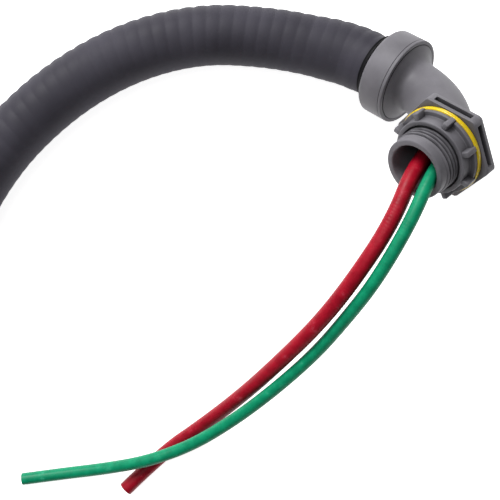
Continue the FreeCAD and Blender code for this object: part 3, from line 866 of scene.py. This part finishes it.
NEAR_TAIL = {
    "red": [
        (0.0848, 0.0673, 0.0715),
        (0.0703, 0.0443, 0.0655),
        (0.0578, 0.0268, 0.0550),
        (0.0428, 0.0098, 0.0410),
        (0.0273, -0.0067, 0.0250),
        (0.0088, -0.0232, 0.0105),
        (-0.0107, -0.0377, 0.0033),
        (-0.0276, -0.0543, 0.0033),
    ],
    "green": [
        (0.0914, 0.0676, 0.0750),
        (0.0789, 0.0446, 0.0690),
        (0.0684, 0.0291, 0.0585),
        (0.0569, 0.0136, 0.0470),
        (0.0399, -0.0034, 0.0360),
        (0.0224, -0.0184, 0.0255),
        (0.0034, -0.0314, 0.0165),
        (-0.0171, -0.0394, 0.0125),
        (-0.0371, -0.0444, 0.0055),
        (-0.0571, -0.0474, 0.00275),
        (-0.0756, -0.0499, 0.00275),
    ],
}
FAR_TAIL = {
    "red": [
        (0.018, -0.1455, 0.0120),
        (0.044, -0.1520, 0.0046),
        (0.072, -0.1535, 0.0033),
        (0.098, -0.1505, 0.0033),
        (0.120, -0.1425, 0.0033),
    ],
    "green": [
        (0.014, -0.1525, 0.0120),
        (0.042, -0.1605, 0.0042),
        (0.072, -0.1645, 0.00275),
        (0.102, -0.1645, 0.00275),
        (0.1294, -0.1594, 0.00275),
    ],
}
# where a wire lies in each hub, in millimetres across the hub's own X and Y, and its lean for each
# millimetre further in
HUB_SPOT = {
    "elbow": {"red": (-0.8, 1.5), "green": (6.8, 1.8)},
    "straight": {"red": (3.6, 0.0), "green": (-3.6, 0.0)},
}
HUB_LEAN = {
    "elbow": {"red": (0.196, 0.09), "green": (0.2255, 0.0)},
    "straight": {"red": (0.0, 0.0), "green": (0.0, 0.0)},
}
TAIL_DEPTH = 22.0
BEND_DEPTH = {"elbow": 1.8, "straight": -7.0}


def through_hub(end, colour):
    """A wire's start inside a hub, and its first bend near the hub's mouth."""
    _, face = axes_of(end)
    spot, lean = HUB_SPOT[end][colour], HUB_LEAN[end][colour]
    points = []
    for depth in (TAIL_DEPTH, BEND_DEPTH[end]):
        further = depth - BEND_DEPTH[end]
        across = (spot[0] - lean[0] * further) * MM
        side = (spot[1] - lean[1] * further) * MM
        points.append(tuple(face @ Vector((across, side, HUB_LENGTH - depth * MM))))
    return points


def insulation(name, colour, at, line):
    """The covering: faint ripples where the nylon coat has wrinkled, and a bore for the copper."""
    angles = turns(WIRE_SIDES)
    phase = 2 * math.pi * at[:, None] / RIPPLE_PITCH
    wander = RIPPLE_WANDER * waves(line, RIPPLE_WANDER_SIZE, seed=3.0)[:, None]
    patches = RIPPLE_MEAN + RIPPLE_SPREAD * waves(line, RIPPLE_PATCH_SIZE, seed=9.0)
    size = np.clip(patches, 0, RIPPLE_MOST)[:, None]
    ripple = RIPPLE_HEIGHT * size * np.sin(phase + wander + RIPPLE_LEAN * np.sin(angles)[None, :])
    outside = rings_along(line, WIRE_RADIUS[colour] - RIPPLE_HEIGHT + ripple, angles)
    inside = rings_along(line, COPPER_RADIUS[colour] + COPPER_CLEARANCE, angles)[::-WALL_INSIDE_STEP]
    return skin(name, np.concatenate([outside, inside]), sharp=50)


def strands(name, colour, at, line):
    """Copper: a plain core, and 19 twisted strands over the last stretch, which shows at the cut end."""
    last = at > at[-1] - STRAND_DEPTH
    core_rings = rings_along(line[~last][::CORE_EVERY], COPPER_RADIUS[colour] * CORE_SHARE, turns(CORE_SIDES))
    pieces = [skin(name + "_core", core_rings, loop=False)]
    end_at, end_line = at[last], line[last]
    _, across, side = directions(line)
    across, side = across[last], side[last]
    thickness = COPPER_RADIUS[colour] / STRANDS_ACROSS
    for ring, count in enumerate(STRAND_RINGS):
        for number in range(count):
            twist = (end_at - end_at[0]) / STRAND_TWIST
            turn = 2 * math.pi * number / count + twist + ring * STRAND_RING_TURN
            out = across * np.cos(turn)[:, None] + side * np.sin(turn)[:, None]
            centre = end_line + out * ring * 2 * thickness
            rings = rings_along(centre, thickness * STRAND_SHARE, turns(STRAND_SIDES))
            pieces.append(skin(name + "_strand", rings, loop=False))
    return finished(name, joined(name, pieces), sharp=50)


def insulation_finish(name, base, pale):
    """PVC under clear nylon: satin, with tone that wanders along the wire, small pale scuffs, and painted
    shade where it runs close to the other wire or into a hub.
    """
    return plastic(
        name, base, pale, 0.46, patch=260, grain=900, scuffs=0.5, depth=0.08, crevice_shade=0.7,
        Specular_IOR_Level=0.22, Coat_Weight=0.04, Coat_Roughness=0.35,
    )


insulation_pvc = {
    "red": insulation_finish("red_insulation_pvc", (0.36, 0.002, 0.016), (0.58, 0.12, 0.17)),
    "green": insulation_finish("green_insulation_pvc", (0.001, 0.285, 0.135), (0.12, 0.50, 0.34)),
}
copper_wire, _, copper_surface = shader("copper_wire", 0.28, Metallic=1.0)
copper_surface.inputs["Base Color"].default_value = (0.80, 0.36, 0.20, 1)

for colour in ("red", "green"):
    for stretch, end, route in (
        ("tail", "elbow", NEAR_TAIL[colour]),
        ("far_tail", "straight", FAR_TAIL[colour]),
    ):
        points = through_hub(end, colour) + route
        at, line = lay_line(points, WIRE_STEP)
        cover = insulation(f"{colour}_wire_{stretch}", colour, at, line)
        wear(cover, insulation_pvc[colour])
        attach(cover, "whip")
        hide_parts(f"{colour}_insulation_{stretch}")
        copper = strands(f"{colour}_wire_{stretch}_copper", colour, at, line)
        wear(copper, copper_wire)
        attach(copper, "whip")
        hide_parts(f"{colour}_copper_{stretch}")
    # inside the conduit a wire is out of sight, so its plain solids are kept
    for part, material in (("insulation", insulation_pvc[colour]), ("copper", copper_wire)):
        hidden = frame["nodes"][f"{colour}_{part}_run"]
        hidden.data.materials.clear()
        hidden.data.materials.append(material)

# ---------------------------------------------------------------------------
# Studio: a plain white table, soft light from the far side and above, and a camera that looks
# straight down.
# ---------------------------------------------------------------------------
CAMERA_PLACE = (0.030, 0.0565, 0.400)
CAMERA_LENS = 61.56
CAMERA_SENSOR = 36.0
TABLE_HALF = 4
TABLE_GLOW = 0.88
WORLD_LIGHT = 0.12
LIT_SPOT = (0.03, 0.05, 0.0)

floor_mesh = bpy.data.meshes.new("table")
floor_corners = [(x * TABLE_HALF, y * TABLE_HALF, 0) for x, y in ((-1, -1), (1, -1), (1, 1), (-1, 1))]
floor_mesh.from_pydata(floor_corners, [], [(0, 1, 2, 3)])
floor = bpy.data.objects.new("table", floor_mesh)
scene.collection.objects.link(floor)
floor_white, _, floor_surface = shader("table_white", 0.9, Specular_IOR_Level=0.1)
floor_surface.inputs["Base Color"].default_value = (0.9, 0.9, 0.9, 1)
floor_surface.inputs["Emission Color"].default_value = (1, 1, 1, 1)
floor_surface.inputs["Emission Strength"].default_value = TABLE_GLOW
floor_mesh.materials.append(floor_white)

world = bpy.data.worlds.new("studio")
world.use_nodes = True
world.node_tree.nodes["Background"].inputs["Color"].default_value = (1, 1, 1, 1)
world.node_tree.nodes["Background"].inputs["Strength"].default_value = WORLD_LIGHT
scene.world = world


def softbox(name, place, target, size, power):
    """A square soft light at a place, turned towards a target."""
    light = bpy.data.lights.new(name, "AREA")
    light.shape = "SQUARE"
    light.size = size
    light.energy = power
    box = bpy.data.objects.new(name, light)
    box.location = place
    box.rotation_euler = (Vector(target) - Vector(place)).to_track_quat("-Z", "Y").to_euler()
    scene.collection.objects.link(box)


softbox("far_softbox", (-0.50, 0.90, 0.85), LIT_SPOT, size=0.55, power=18)
softbox("top_softbox", (-0.3, 0.2, 1.3), LIT_SPOT, size=0.6, power=3)

camera_data = bpy.data.cameras.new("camera")
camera_data.lens = CAMERA_LENS
camera_data.sensor_width = CAMERA_SENSOR
camera_data.clip_start = 0.01
camera = bpy.data.objects.new("camera", camera_data)
camera.location = CAMERA_PLACE
scene.collection.objects.link(camera)
scene.camera = camera
scene.view_settings.view_transform = "Standard"
